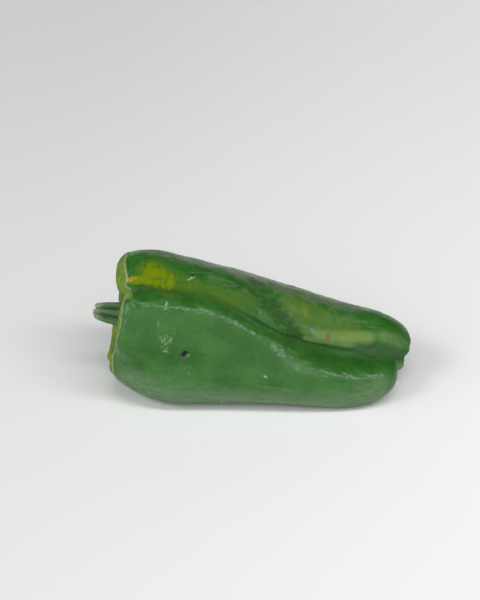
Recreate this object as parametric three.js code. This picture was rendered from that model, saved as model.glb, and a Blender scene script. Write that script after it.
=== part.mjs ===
// A long bell pepper lying on its side, with the green stem still on it.
// Millimetres. +Z is up, +X runs from the stem end to the blossom end, and -Y is the front.
// The origin is on the ground, under the middle of the whole pepper.
//
// The fruit is one solid. Its skin is a surface of two parameters: a place along a meridian,
// which runs from the stem hollow over the shoulder and along the side to the blossom dimple,
// and a turn about the spine, where 0 is up and a quarter turn faces the front.

import * as THREE from "three";
import { mergeVertices } from "three/addons/utils/BufferGeometryUtils.js";

// Overall size
const FRUIT_LENGTH = 142;
const GROUND_MIDDLE = new THREE.Vector2(-3.456, -2.068);

// The spine, as sideways and height pairs at equal steps from the stem end to the blossom end
const SPINE = new THREE.SplineCurve([
  new THREE.Vector2(-1.0, 31.2),
  new THREE.Vector2(-1.0, 28.7),
  new THREE.Vector2(-0.5, 25.5),
  new THREE.Vector2(0.0, 21.7),
  new THREE.Vector2(1.5, 17.2),
  new THREE.Vector2(3.0, 16.8),
]);

// The lobes. Each is a group of round bulges: circles in the cross-section that slide and
// change radius from the stem end to the tip. y, z and r are measured from the spine.
// rises and sways are the stretches, as shares of the length, in which z and y change.
// shoulder and nose round the two ends: how far the turn reaches along the fruit, how far it
// stands past the end of the spine, how square it is (2 is a quarter of an ellipse), and the
// share of the section's radius at its crest, where it stands furthest out.
const LOBES = [
  [
    {
      stem: { y: -14.5, z: 18.3, r: 11.0 },
      tip: { y: -2.0, z: 0.0, r: 9.0 },
      rises: [0.28, 0.72],
      sways: [0.5, 0.92],
      shoulder: { length: 9, past: -3.0, square: 2.4, crest: 0.7 },
      nose: { length: 20, past: 0.5, square: 2.0, crest: 0.38 },
    },
    {
      stem: { y: -15.0, z: 4.5, r: 18.3 },
      tip: { y: -15.6, z: -6.0, r: 9.2 },
      rises: [0.2, 0.8],
      sways: [0.2, 0.8],
      shoulder: { length: 9, past: -3.0, square: 2.4, crest: 0.7 },
      nose: { length: 26, past: -0.5, square: 2.1, crest: 0.38 },
    },
    {
      stem: { y: -17.7, z: -14.4, r: 18.6 },
      tip: { y: -15.0, z: -6.6, r: 10.8 },
      rises: [0.0, 0.8],
      sways: [0.7, 1.0],
      shoulder: { length: 34, past: 1.0, square: 1.45, crest: 0.59 },
      nose: { length: 31, past: -2.0, square: 2.25, crest: 0.38 },
    },
  ],
  [
    {
      stem: { y: -2.0, z: 18.5, r: 11.5 },
      tip: { y: 5.5, z: 0.0, r: 11.0 },
      rises: [0.34, 0.68],
      sways: [0.38, 0.72],
      shoulder: { length: 14, past: -2.0, square: 2.4, crest: 0.7 },
      nose: { length: 22, past: 3.0, square: 2.0, crest: 0.38 },
    },
    {
      stem: { y: 7.4, z: 19.5, r: 13.5 },
      tip: { y: 8.5, z: 0.4, r: 15.8 },
      rises: [0.34, 0.68],
      sways: [0.34, 0.68],
      shoulder: { length: 19, past: 2.2, square: 2.2, crest: 0.7 },
      nose: { length: 22, past: 7.2, square: 2.15, crest: 0.38 },
    },
    {
      stem: { y: 15.0, z: 19.6, r: 18.0 },
      tip: { y: 15.5, z: 3.0, r: 13.6 },
      rises: null,
      sways: null,
      shoulder: { length: 24, past: 3.0, square: 2.0, crest: 0.7 },
      nose: { length: 28, past: 5.0, square: 2.1, crest: 0.38 },
    },
  ],
  [
    {
      stem: { y: 10.0, z: -13.6, r: 19.0 },
      tip: { y: 8.5, z: -9.8, r: 7.4 },
      rises: [0.1, 0.8],
      sways: null,
      shoulder: { length: 30, past: 6.2, square: 2.4, crest: 0.7 },
      nose: { length: 18, past: 5.2, square: 2.2, crest: 0.38 },
    },
  ],
];

// The round middle that the lobes stand out of: a crease between two lobes ends at it
const CORE = {
  stem: { y: 0.0, z: -3.0, r: 21.0 },
  tip: { y: 2.0, z: -6.0, r: 9.0 },
  rises: null,
  sways: null,
};

// Blends: inside a lobe, between lobes at the stem end and at the tip, where the creases are
// sharp, and the width over which the ends pass from one bulge to the next
const BLEND_INSIDE = 2.5;
const BLEND_STEM = 3.0;
const BLEND_TIP = 0.6;
const CREASE_SHARPENS = [0.2, 0.65];
const BLEND_ENDS = 4.2;
const TANGENT_SOFTNESS = 6;

// The hollow round the stem and the dimple at the blossom end
const HOLLOW = { depth: 11, notch: 3.5, bend: 1.3 };
const DIMPLE = { depth: 5, notch: 3.0 };
const ROUND_CENTRE = 0.6;
const MEAN_TURNS = 24;
const END_SHARES = [0.1, 0.9];

// The stem: a capped calyx that lines the hollow, and a ribbed stalk that rises out of it
const CALYX = { reach: 0.4, teeth: 6, tooth: 0.12, gap: 0.8, edge: 1.2, middle: 3.2 };
const STALK = {
  path: new THREE.QuadraticBezierCurve3(
    new THREE.Vector3(-61.5, -0.9, 36.4),
    new THREE.Vector3(-71.0, -0.6, 36.2),
    new THREE.Vector3(-82.5, 1.4, 36.7),
  ),
  foot: 7.4,
  waist: 5.2,
  end: 3.1,
  ribs: 6,
  rib: 0.09,
  twist: 0.5,
};

// Mesh steps
const FRUIT_TURNS = 72;
const FRUIT_STEPS = { hollow: 6, shoulder: 9, side: 24, nose: 9, dimple: 5 };
const STEM_TURNS = 48;

const FULL_TURN = 2 * Math.PI;
const UP = new THREE.Vector3(0, 0, 1);
const { clamp, lerp, smoothstep } = THREE.MathUtils;
const BULGES = LOBES.flat();

// How far a change has gone at a share of the length: evenly where it has no stretch
function progress(share, stretch) {
  return stretch ? smoothstep(share, stretch[0], stretch[1]) : share;
}

// A bulge's circle at a share of the length
function circleAt(bulge, share) {
  return {
    y: lerp(bulge.stem.y, bulge.tip.y, progress(share, bulge.sways)),
    z: lerp(bulge.stem.z, bulge.tip.z, progress(share, bulge.rises)),
    r: lerp(bulge.stem.r, bulge.tip.r, share),
  };
}

// Distance from the spine to a circle along a turn. Where the ray misses the circle the
// distance falls away smoothly, so the circle's edge leaves no ledge.
function distanceTo(circle, turn) {
  const sideways = -Math.sin(turn);
  const upwards = Math.cos(turn);
  const along = circle.y * sideways + circle.z * upwards;
  const across = circle.y * upwards - circle.z * sideways;
  const under = circle.r ** 2 - across ** 2;
  const size = Math.hypot(under, TANGENT_SOFTNESS ** 2);
  return along + Math.sqrt((size + under) / 2) - Math.sqrt((size - under) / 2);
}

// Largest of some values, rounded where two of them are nearly equal
function smoothMax(values, width) {
  const top = Math.max(...values);
  const sum = values.reduce((total, value) => total + Math.exp((value - top) / width), 0);
  return top + width * Math.log(sum);
}

// Shares that add up to 1 and favour the largest values
function favour(values, width) {
  const top = Math.max(...values);
  const weights = values.map((value) => Math.exp((value - top) / width));
  const sum = weights.reduce((total, weight) => total + weight, 0);
  return weights.map((weight) => weight / sum);
}

// Each lobe's reach from the spine along a turn, at a share of the length
function lobeReaches(turn, share) {
  return LOBES.map((lobe) =>
    smoothMax(
      lobe.map((bulge) => distanceTo(circleAt(bulge, share), turn)),
      BLEND_INSIDE,
    ),
  );
}

// The skin's distance from the spine along a turn
function reach(turn, share) {
  const sharp = smoothstep(share, CREASE_SHARPENS[0], CREASE_SHARPENS[1]);
  const core = distanceTo(circleAt(CORE, share), turn);
  return smoothMax([...lobeReaches(turn, share), core], lerp(BLEND_STEM, BLEND_TIP, sharp));
}

// The mean distance round the section, which the middles of the two ends go over to
function meanReach(share) {
  let sum = 0;
  for (let k = 0; k < MEAN_TURNS; k++) {
    sum += reach((FULL_TURN * k) / MEAN_TURNS, share);
  }
  return sum / MEAN_TURNS;
}

// The rounding of one end along a turn, blended from the bulges there, and how deep in a
// crease between lobes the turn lies, from 0 to 1
function endShape(turn, share, end) {
  const distances = BULGES.map((bulge) => distanceTo(circleAt(bulge, share), turn));
  const shares = favour(distances, BLEND_ENDS);
  const blend = (key) => shares.reduce((sum, part, k) => sum + part * BULGES[k][end][key], 0);
  const [a, b, c] = favour(lobeReaches(turn, share), BLEND_ENDS);
  return {
    length: blend("length"),
    past: blend("past"),
    power: 2 / blend("square"),
    crest: blend("crest"),
    crease: Math.min(1, 4 * (a * b + b * c + c * a)),
  };
}

// The two ends' shapes along a turn
function endsAlong(turn) {
  return {
    shoulder: endShape(turn, END_SHARES[0], "shoulder"),
    nose: endShape(turn, END_SHARES[1], "nose"),
  };
}

// A place on a meridian as a distance along the spine and a share of the section's radius
function meridianPlace(zone, step, { shoulder, nose }) {
  const stemCrest = -shoulder.past + HOLLOW.notch * shoulder.crease;
  const noseCrest = FRUIT_LENGTH + nose.past - DIMPLE.notch * nose.crease;
  const sideEnd = FRUIT_LENGTH - nose.length;
  const quarter = (step * Math.PI) / 2;
  if (zone === "hollow") {
    const sunk = (Math.cos(Math.PI * step ** HOLLOW.bend) + 1) / 2;
    return { along: lerp(stemCrest, HOLLOW.depth, sunk), width: shoulder.crest * step };
  }
  if (zone === "shoulder") {
    const out = Math.sin(quarter) ** shoulder.power;
    const back = 1 - Math.cos(quarter) ** shoulder.power;
    return { along: lerp(stemCrest, shoulder.length, back), width: lerp(shoulder.crest, 1, out) };
  }
  if (zone === "side") {
    return { along: lerp(shoulder.length, sideEnd, step), width: 1 };
  }
  if (zone === "nose") {
    const forward = Math.sin(quarter) ** nose.power;
    const out = Math.cos(quarter) ** nose.power;
    return { along: lerp(sideEnd, noseCrest, forward), width: lerp(nose.crest, 1, out) };
  }
  const sunk = (1 - Math.cos(Math.PI * step)) / 2;
  const floor = FRUIT_LENGTH - DIMPLE.depth;
  return { along: lerp(noseCrest, floor, sunk), width: nose.crest * (1 - step) };
}

// The spine's point at a distance along it, with the section's upward and frontward directions
function spineFrame(along) {
  const share = clamp(along / FRUIT_LENGTH, 0, 1);
  const middle = SPINE.getPoint(share);
  const point = new THREE.Vector3(along - FRUIT_LENGTH / 2, middle.x, middle.y);
  const step = 1e-3;
  const inner = clamp(along / FRUIT_LENGTH, step, 1 - step);
  const rise = SPINE.getPoint(inner + step).sub(SPINE.getPoint(inner - step));
  rise.divideScalar(2 * step * FRUIT_LENGTH);
  const tangent = new THREE.Vector3(1, rise.x, rise.y).normalize();
  const upward = UP.clone().addScaledVector(tangent, -tangent.z).normalize();
  const frontward = new THREE.Vector3().crossVectors(upward, tangent).negate();
  return { point, upward, frontward };
}

// A point of the skin. The ground flattens the skin where it would reach below it.
function skinPoint(turn, { along, width }) {
  const share = clamp(along / FRUIT_LENGTH, 0, 1);
  const even = smoothstep(width, 0, ROUND_CENTRE);
  const radius = width * lerp(meanReach(share), reach(turn, share), even);
  const { point, upward, frontward } = spineFrame(along);
  point.addScaledVector(upward, radius * Math.cos(turn));
  point.addScaledVector(frontward, radius * Math.sin(turn));
  point.z = Math.max(point.z, 0);
  return point;
}

// A closed body: a lathe from axis to axis whose vertices a rule moves into place. The rule
// takes a vertex's turn and its station along the profile.
function turnedBody(turns, stations, rule) {
  const profile = [];
  for (let k = 0; k < stations; k++) {
    const angle = (Math.PI * k) / (stations - 1);
    const onAxis = k === 0 || k === stations - 1;
    profile.push(new THREE.Vector2(onAxis ? 0 : Math.sin(angle), -Math.cos(angle)));
  }
  const body = new THREE.LatheGeometry(profile, turns);
  const { position, uv } = body.attributes;
  for (let k = 0; k < position.count; k++) {
    const turn = FULL_TURN * (Math.round(uv.getX(k) * turns) % turns) / turns;
    const point = rule(turn, Math.round(uv.getY(k) * (stations - 1)));
    position.setXYZ(k, point.x, point.y, point.z);
  }
  body.deleteAttribute("normal");
  body.deleteAttribute("uv");
  const merged = mergeVertices(body, 1e-3);
  merged.computeVertexNormals();
  return merged;
}

// The fruit's skin from the floor of the hollow to the floor of the dimple
function fruitGeometry() {
  const places = [];
  for (const [zone, steps] of Object.entries(FRUIT_STEPS)) {
    for (let k = 0; k < steps; k++) {
      places.push([zone, k / steps]);
    }
  }
  places.push(["dimple", 1]);
  return turnedBody(FRUIT_TURNS, places.length, (turn, station) => {
    const [zone, step] = places[station];
    return skinPoint(turn, meridianPlace(zone, step, endsAlong(turn)));
  });
}

// A point over the hollow's floor, lifted off it towards the stem
function overHollow(turn, width, lift) {
  const ends = endsAlong(turn);
  const place = meridianPlace("hollow", width / ends.shoulder.crest, ends);
  place.along -= lift;
  return skinPoint(turn, place);
}

// A point on the stalk, whose ribs turn a little on their way out
function stalkPoint(turn, out, radius, ribbed) {
  const centre = STALK.path.getPoint(out);
  const tangent = STALK.path.getTangent(out).negate();
  const upward = UP.clone().addScaledVector(tangent, -tangent.z).normalize();
  const frontward = new THREE.Vector3().crossVectors(upward, tangent).negate();
  const rib = 1 + ribbed * STALK.rib * Math.cos(STALK.ribs * turn + STALK.twist * out);
  centre.addScaledVector(upward, radius * rib * Math.cos(turn));
  centre.addScaledVector(frontward, radius * rib * Math.sin(turn));
  return centre;
}

// The stem from the tip of the stalk to the calyx's underside, so that it faces out as the
// fruit does
function stemGeometry() {
  const { gap, edge, middle } = CALYX;
  const tooth = (turn) => 1 + CALYX.tooth * Math.cos(CALYX.teeth * turn);
  const calyx = (width, lift) => (turn) =>
    overHollow(turn, CALYX.reach * width * tooth(turn), gap + lift);
  const stalk = (out, radius, ribbed) => (turn) => stalkPoint(turn, out, radius, ribbed);
  const rings = [
    stalk(0.97, 0, 0),
    stalk(0.985, STALK.end * 0.55, 0.5),
    stalk(1.0, STALK.end * 0.9, 1),
    stalk(0.96, STALK.end * 1.04, 1),
    stalk(0.86, lerp(STALK.end, STALK.waist, 0.35), 1),
    stalk(0.72, lerp(STALK.end, STALK.waist, 0.7), 1),
    stalk(0.56, STALK.waist, 1),
    stalk(0.42, lerp(STALK.waist, STALK.foot, 0.25), 0.9),
    stalk(0.3, STALK.foot, 0.7),
    calyx(0.72, middle * 0.62),
    calyx(0.86, middle * 0.45),
    calyx(0.97, edge),
    calyx(1.0, edge * 0.5),
    calyx(0.97, 0),
    calyx(0.7, 0),
    calyx(0.4, 0),
    calyx(0, 0),
  ];
  return turnedBody(STEM_TURNS, rings.length, (turn, station) => rings[station](turn));
}

const skin = new THREE.MeshStandardMaterial({ color: 0x4a6e3f, roughness: 0.38, metalness: 0 });
const fruit = new THREE.Mesh(fruitGeometry(), skin);
fruit.name = "fruit";

const rind = new THREE.MeshStandardMaterial({ color: 0x486b3c, roughness: 0.6, metalness: 0 });
const stem = new THREE.Mesh(stemGeometry(), rind);
stem.name = "stem";

const pepper = new THREE.Group();
pepper.add(fruit, stem);
pepper.position.set(-GROUND_MIDDLE.x, -GROUND_MIDDLE.y, 0);

export default pepper;
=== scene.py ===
"""A long green bell pepper lying on its side, dressed for a soft studio picture.

The fruit and its stem follow the same rules as the solids they stand for, at a much finer step.
Lengths that describe the pepper are in millimetres, and meshes, lights and the camera are in
metres. +Z is up, +X runs from the stem end to the blossom end, and -Y is the front.
"""
import logging
import math
from dataclasses import dataclass
from enum import Enum

import bmesh
import bpy
import numpy as np
from mathutils import Matrix, Vector


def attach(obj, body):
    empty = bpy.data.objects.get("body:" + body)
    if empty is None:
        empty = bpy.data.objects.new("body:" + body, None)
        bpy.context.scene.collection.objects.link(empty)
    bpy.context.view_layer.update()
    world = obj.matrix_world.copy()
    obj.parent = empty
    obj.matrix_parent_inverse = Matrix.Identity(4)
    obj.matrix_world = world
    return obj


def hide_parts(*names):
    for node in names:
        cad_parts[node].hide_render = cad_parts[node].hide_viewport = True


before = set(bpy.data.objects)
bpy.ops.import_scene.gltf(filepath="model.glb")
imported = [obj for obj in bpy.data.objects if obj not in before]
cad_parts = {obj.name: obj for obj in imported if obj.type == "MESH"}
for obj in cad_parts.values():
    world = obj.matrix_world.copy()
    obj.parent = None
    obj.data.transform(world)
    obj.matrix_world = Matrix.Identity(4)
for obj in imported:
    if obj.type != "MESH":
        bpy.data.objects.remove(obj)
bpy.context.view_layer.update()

LOG = logging.getLogger("pepper")
Array = np.ndarray
Socket = bpy.types.NodeSocket
Piece = bpy.types.Object
Pair = tuple[float, float]
Triple = tuple[float, float, float]
Colour = Triple
Path = tuple[Pair, ...]
MM = 0.001
FULL_TURN = 2 * math.pi
NO_LENGTH = 1e-12
WELD_DISTANCE = 1e-6


def smoothstep(value: Array | float, low: float, high: float) -> Array:
    """A soft step from 0 where a value is low to 1 where it is high, which may be below low."""
    share = np.clip((np.asarray(value, float) - low) / (high - low), 0, 1)
    return share * share * (3 - 2 * share)


def lerp(start: Array | float, end: Array | float, share: Array | float) -> Array | float:
    """The value a share of the way from start to end."""
    return start + (end - start) * share


def spline(knots: Array | tuple[float, ...], share: Array) -> Array:
    """A smooth curve through evenly spaced knots.

    Args:
        knots: The values that the curve passes through, or one row of values for each knot.
        share: Where to read it, from 0 at the first knot to 1 at the last.

    Returns:
        The curve's value at each share.
    """
    values = np.asarray(knots, float)
    last = len(values) - 1
    place = np.clip(share, 0, 1) * last
    index = np.minimum(np.floor(place).astype(int), last - 1)
    part = (place - index).reshape(place.shape + (1,) * (values.ndim - 1))
    before, start = values[np.maximum(index - 1, 0)], values[index]
    end, after = values[index + 1], values[np.minimum(index + 2, last)]
    leaving, arriving = (end - before) / 2, (after - start) / 2
    cubic = 2 * start - 2 * end + leaving + arriving
    square = -3 * start + 3 * end - 2 * leaving - arriving
    return ((cubic * part + square) * part + leaving) * part + start


def unit(vectors: Array) -> Array:
    """Vectors at length 1, with those of no length left alone."""
    size = np.linalg.norm(vectors, axis=-1, keepdims=True)
    return vectors / np.where(size > NO_LENGTH, size, 1)


def bell(distance: Array, spread: float) -> Array:
    """A bell curve: 1 at no distance, and nearly gone at twice the spread."""
    return np.exp(-((distance / spread) ** 2))


def even_turns(count: int) -> Array:
    """Evenly spaced turns, once all the way round."""
    return np.arange(count) * FULL_TURN / count


class Zone(Enum):
    """The stretches of a meridian, from the middle of the hollow to the middle of the dimple."""

    HOLLOW = 0
    SHOULDER = 1
    SIDE = 2
    NOSE = 3
    DIMPLE = 4


@dataclass(frozen=True)
class Circle:
    """A bulge's circle in a cross-section, measured from the spine."""

    y: float
    z: float
    r: float


@dataclass(frozen=True)
class Rounding:
    """How an end is rounded along a bulge.

    length is how far the rounding reaches along the fruit, past how far the end stands beyond
    the spine's, and square how square it is, where 2 is a quarter of an ellipse. crest is the
    share of the section's radius where the end stands furthest out.
    """

    length: float
    past: float
    square: float
    crest: float


@dataclass(frozen=True)
class Bulge:
    """A round bulge that slides and shrinks from the stem end to the tip.

    rises and sways are the stretches, as shares of the length, in which z and y change.
    """

    stem: Circle
    tip: Circle
    shoulder: Rounding
    nose: Rounding
    rises: Pair | None = None
    sways: Pair | None = None

    def distance(self, turn: Array, share: Array, softness: float) -> Array:
        """How far the bulge's circle reaches from the spine along a turn.

        Args:
            turn: Turns about the spine, where 0 is up and a quarter turn faces the front.
            share: Shares of the length.
            softness: How gently the distance falls away where the circle is missed.

        Returns:
            The distances in millimetres.
        """
        y = lerp(self.stem.y, self.tip.y, smoothstep(share, *self.sways) if self.sways else share)
        z = lerp(self.stem.z, self.tip.z, smoothstep(share, *self.rises) if self.rises else share)
        r = lerp(self.stem.r, self.tip.r, share)
        sideways, upwards = -np.sin(turn), np.cos(turn)
        under = r**2 - (y * upwards - z * sideways) ** 2
        size = np.hypot(under, softness**2)
        along = y * sideways + z * upwards
        return along + np.sqrt((size + under) / 2) - np.sqrt((size - under) / 2)


FRONT_LOBE = (
    Bulge(
        Circle(-14.5, 18.3, 11.0), Circle(-2.0, 0.0, 9.0),
        Rounding(9, -3.0, 2.4, 0.7), Rounding(20, 0.5, 2.0, 0.38), (0.28, 0.72), (0.5, 0.92),
    ),
    Bulge(
        Circle(-15.0, 4.5, 18.3), Circle(-15.6, -6.0, 9.2),
        Rounding(9, -3.0, 2.4, 0.7), Rounding(26, -0.5, 2.1, 0.38), (0.2, 0.8), (0.2, 0.8),
    ),
    Bulge(
        Circle(-17.7, -14.4, 18.6), Circle(-15.0, -6.6, 10.8),
        Rounding(34, 1.0, 1.45, 0.59), Rounding(31, -2.0, 2.25, 0.38), (0.0, 0.8), (0.7, 1.0),
    ),
)
TOP_LOBE = (
    Bulge(
        Circle(-2.0, 18.5, 11.5), Circle(5.5, 0.0, 11.0),
        Rounding(14, -2.0, 2.4, 0.7), Rounding(22, 3.0, 2.0, 0.38), (0.34, 0.68), (0.38, 0.72),
    ),
    Bulge(
        Circle(7.4, 19.5, 13.5), Circle(8.5, 0.4, 15.8),
        Rounding(19, 2.2, 2.2, 0.7), Rounding(22, 7.2, 2.15, 0.38), (0.34, 0.68), (0.34, 0.68),
    ),
    Bulge(
        Circle(15.0, 19.6, 18.0), Circle(15.5, 3.0, 13.6),
        Rounding(24, 3.0, 2.0, 0.7), Rounding(28, 5.0, 2.1, 0.38),
    ),
)
BACK_LOBE = (
    Bulge(
        Circle(10.0, -13.6, 19.0), Circle(8.5, -9.8, 7.4),
        Rounding(30, 6.2, 2.4, 0.7), Rounding(18, 5.2, 2.2, 0.38), (0.1, 0.8),
    ),
)
NO_ROUNDING = Rounding(1, 0, 2, 1)
CORE = Bulge(Circle(0.0, -3.0, 21.0), Circle(2.0, -6.0, 9.0), NO_ROUNDING, NO_ROUNDING)


def smooth_max(values: Array, width: Array | float) -> Array:
    """The largest of several arrays, rounded where two of them are nearly equal."""
    top = values.max(axis=0)
    return top + width * np.log(np.exp((values - top) / width).sum(axis=0))


def favour(values: Array, width: float) -> Array:
    """Shares that add up to 1 and favour the largest values."""
    weights = np.exp((values - values.max(axis=0)) / width)
    return weights / weights.sum(axis=0)


@dataclass(frozen=True)
class PepperForm:
    """The fruit's form: a skin of a place along a meridian and a turn about the spine."""

    length: float = 142.0
    ground_middle: Pair = (-3.456, -2.068)
    spine_sides: tuple[float, ...] = (-1.0, -1.0, -0.5, 0.0, 1.5, 3.0)
    spine_heights: tuple[float, ...] = (31.2, 28.7, 25.5, 21.7, 17.2, 16.8)
    lobes: tuple[tuple[Bulge, ...], ...] = (FRONT_LOBE, TOP_LOBE, BACK_LOBE)
    blend_inside: float = 2.5
    blend_stem: float = 3.0
    blend_tip: float = 0.6
    crease_sharpens: Pair = (0.2, 0.65)
    blend_ends: float = 4.2
    tangent_softness: float = 6.0
    hollow_depth: float = 11.0
    hollow_notch: float = 3.5
    hollow_bend: float = 1.3
    dimple_depth: float = 5.0
    dimple_notch: float = 3.0
    round_centre: float = 0.6
    end_shares: Pair = (0.1, 0.9)
    mean_turns: int = 24
    mean_steps: int = 200

    def lobe_reaches(self, turn: Array, share: Array) -> Array:
        """Each lobe's reach from the spine, one array a lobe."""
        return np.array([
            smooth_max(
                np.array([b.distance(turn, share, self.tangent_softness) for b in lobe]),
                self.blend_inside,
            )
            for lobe in self.lobes
        ])

    def reach(self, turn: Array, share: Array) -> Array:
        """The skin's distance from the spine.

        Args:
            turn: Turns about the spine.
            share: Shares of the length.

        Returns:
            The distances in millimetres.
        """
        sharp = smoothstep(share, *self.crease_sharpens)
        core = CORE.distance(turn, share, self.tangent_softness)
        values = np.concatenate([self.lobe_reaches(turn, share), core[None]])
        return smooth_max(values, lerp(self.blend_stem, self.blend_tip, sharp))

    def crease(self, turn: Array, share: Array) -> Array:
        """How deep in a crease between lobes a place lies, from 0 to 1."""
        a, b, c = favour(self.lobe_reaches(turn, share), self.blend_ends)
        return np.minimum(1, 4 * (a * b + b * c + c * a))

    def mean_reach(self, share: Array) -> Array:
        """The mean distance round the section, which the middles of the ends go over to.

        Args:
            share: Shares of the length.

        Returns:
            The mean distances in millimetres.
        """
        shares = np.linspace(0, 1, self.mean_steps)
        every_share = np.broadcast_to(shares, (self.mean_turns, self.mean_steps))
        reaches = self.reach(even_turns(self.mean_turns)[:, None], every_share)
        return np.interp(share, shares, reaches.mean(axis=0))

    def end_shape(self, turn: Array, share: float, end: str) -> dict[str, Array]:
        """An end's rounding along turns, blended from the bulges there.

        Args:
            turn: Turns about the spine.
            share: The share of the length at which the bulges are weighed.
            end: shoulder or nose.

        Returns:
            Arrays named length, past, square, power, crest and crease.
        """
        shares = np.full_like(turn, share)
        bulges = [bulge for lobe in self.lobes for bulge in lobe]
        reaches = np.array([b.distance(turn, shares, self.tangent_softness) for b in bulges])
        weights = favour(reaches, self.blend_ends)
        shape = {
            name: sum(w * getattr(getattr(b, end), name) for w, b in zip(weights, bulges))
            for name in ("length", "past", "square", "crest")
        }
        shape["power"] = 2 / shape["square"]
        shape["crease"] = self.crease(turn, shares)
        return shape

    def meridian_place(self, zone: Zone, step: float, turn: Array) -> tuple[Array, Array]:
        """A place on the meridians.

        Args:
            zone: The stretch of the meridian.
            step: How far along that stretch, from 0 to 1.
            turn: The meridians' turns.

        Returns:
            Distances along the spine, and shares of the section's radius.
        """
        shoulder = self.end_shape(turn, self.end_shares[0], "shoulder")
        nose = self.end_shape(turn, self.end_shares[1], "nose")
        stem_crest = -shoulder["past"] + self.hollow_notch * shoulder["crease"]
        nose_crest = self.length + nose["past"] - self.dimple_notch * nose["crease"]
        side_end = self.length - nose["length"]
        quarter = step * math.pi / 2
        if zone is Zone.HOLLOW:
            sunk = (math.cos(math.pi * step**self.hollow_bend) + 1) / 2
            return lerp(stem_crest, self.hollow_depth, sunk), shoulder["crest"] * step
        if zone is Zone.SHOULDER:
            out = math.sin(quarter) ** shoulder["power"]
            back = 1 - math.cos(quarter) ** shoulder["power"]
            return lerp(stem_crest, shoulder["length"], back), lerp(shoulder["crest"], 1, out)
        if zone is Zone.SIDE:
            return lerp(shoulder["length"], side_end, step), np.ones_like(turn)
        if zone is Zone.NOSE:
            forward = math.sin(quarter) ** nose["power"]
            out = math.cos(quarter) ** nose["power"]
            return lerp(side_end, nose_crest, forward), lerp(nose["crest"], 1, out)
        sunk = (1 - math.cos(math.pi * step)) / 2
        floor = self.length - self.dimple_depth
        return lerp(nose_crest, floor, sunk), nose["crest"] * (1 - step)

    def spine_frame(self, along: Array) -> tuple[Array, Array, Array]:
        """The spine, with the directions in which the sections across it lie.

        Args:
            along: Distances along the spine.

        Returns:
            The spine's points, and the sections' upward and frontward directions.
        """
        step = 1e-3
        share = np.clip(along / self.length, 0, 1)
        inner = np.clip(share, step, 1 - step)

        def slope(knots: tuple[float, ...]) -> Array:
            """How fast a curve of the spine changes along it."""
            change = spline(knots, inner + step) - spline(knots, inner - step)
            return change / (2 * step * self.length)

        point = np.stack([
            along - self.length / 2 - self.ground_middle[0],
            spline(self.spine_sides, share) - self.ground_middle[1],
            spline(self.spine_heights, share),
        ], axis=-1)
        sideways, upwards = slope(self.spine_sides), slope(self.spine_heights)
        tangent = unit(np.stack([np.ones_like(along), sideways, upwards], axis=-1))
        upward = unit(np.array([0.0, 0.0, 1.0]) - tangent[..., 2:3] * tangent)
        return point, upward, -np.cross(upward, tangent)

    def skin_point(self, turn: Array, along: Array, width: Array) -> Array:
        """Points of the skin, flattened where the ground meets them.

        Args:
            turn: Turns about the spine.
            along: Distances along the spine.
            width: Shares of the section's radius.

        Returns:
            The points in millimetres.
        """
        share = np.clip(along / self.length, 0, 1)
        even = smoothstep(width, 0, self.round_centre)
        radius = width * lerp(self.mean_reach(share), self.reach(turn, share), even)
        point, upward, frontward = self.spine_frame(along)
        point = point + upward * (radius * np.cos(turn))[..., None]
        point = point + frontward * (radius * np.sin(turn))[..., None]
        point[..., 2] = np.maximum(point[..., 2], 0)
        return point


@dataclass(frozen=True)
class Ripples:
    """Gentle random unevenness: waves of about one length in random directions.

    stretch draws the pattern out along X, so that above 1 it runs along the fruit.
    """

    wavelength: float
    height: float
    seed: int
    stretch: float = 1.0
    waves: int = 28

    def at(self, points: Array) -> Array:
        """The ripples' height.

        Args:
            points: Where to read it, in millimetres.

        Returns:
            A height in millimetres for each point.
        """
        draw = np.random.default_rng(self.seed)
        heights = np.zeros(points.shape[:-1])
        for _ in range(self.waves):
            heading = unit(draw.normal(size=3))
            length = self.wavelength * draw.uniform(0.7, 1.5)
            phase = draw.uniform(0, FULL_TURN)
            heading[0] /= self.stretch
            heights += np.sin(points @ heading * FULL_TURN / length + phase)
        return heights * self.height * math.sqrt(2 / self.waves)


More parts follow.
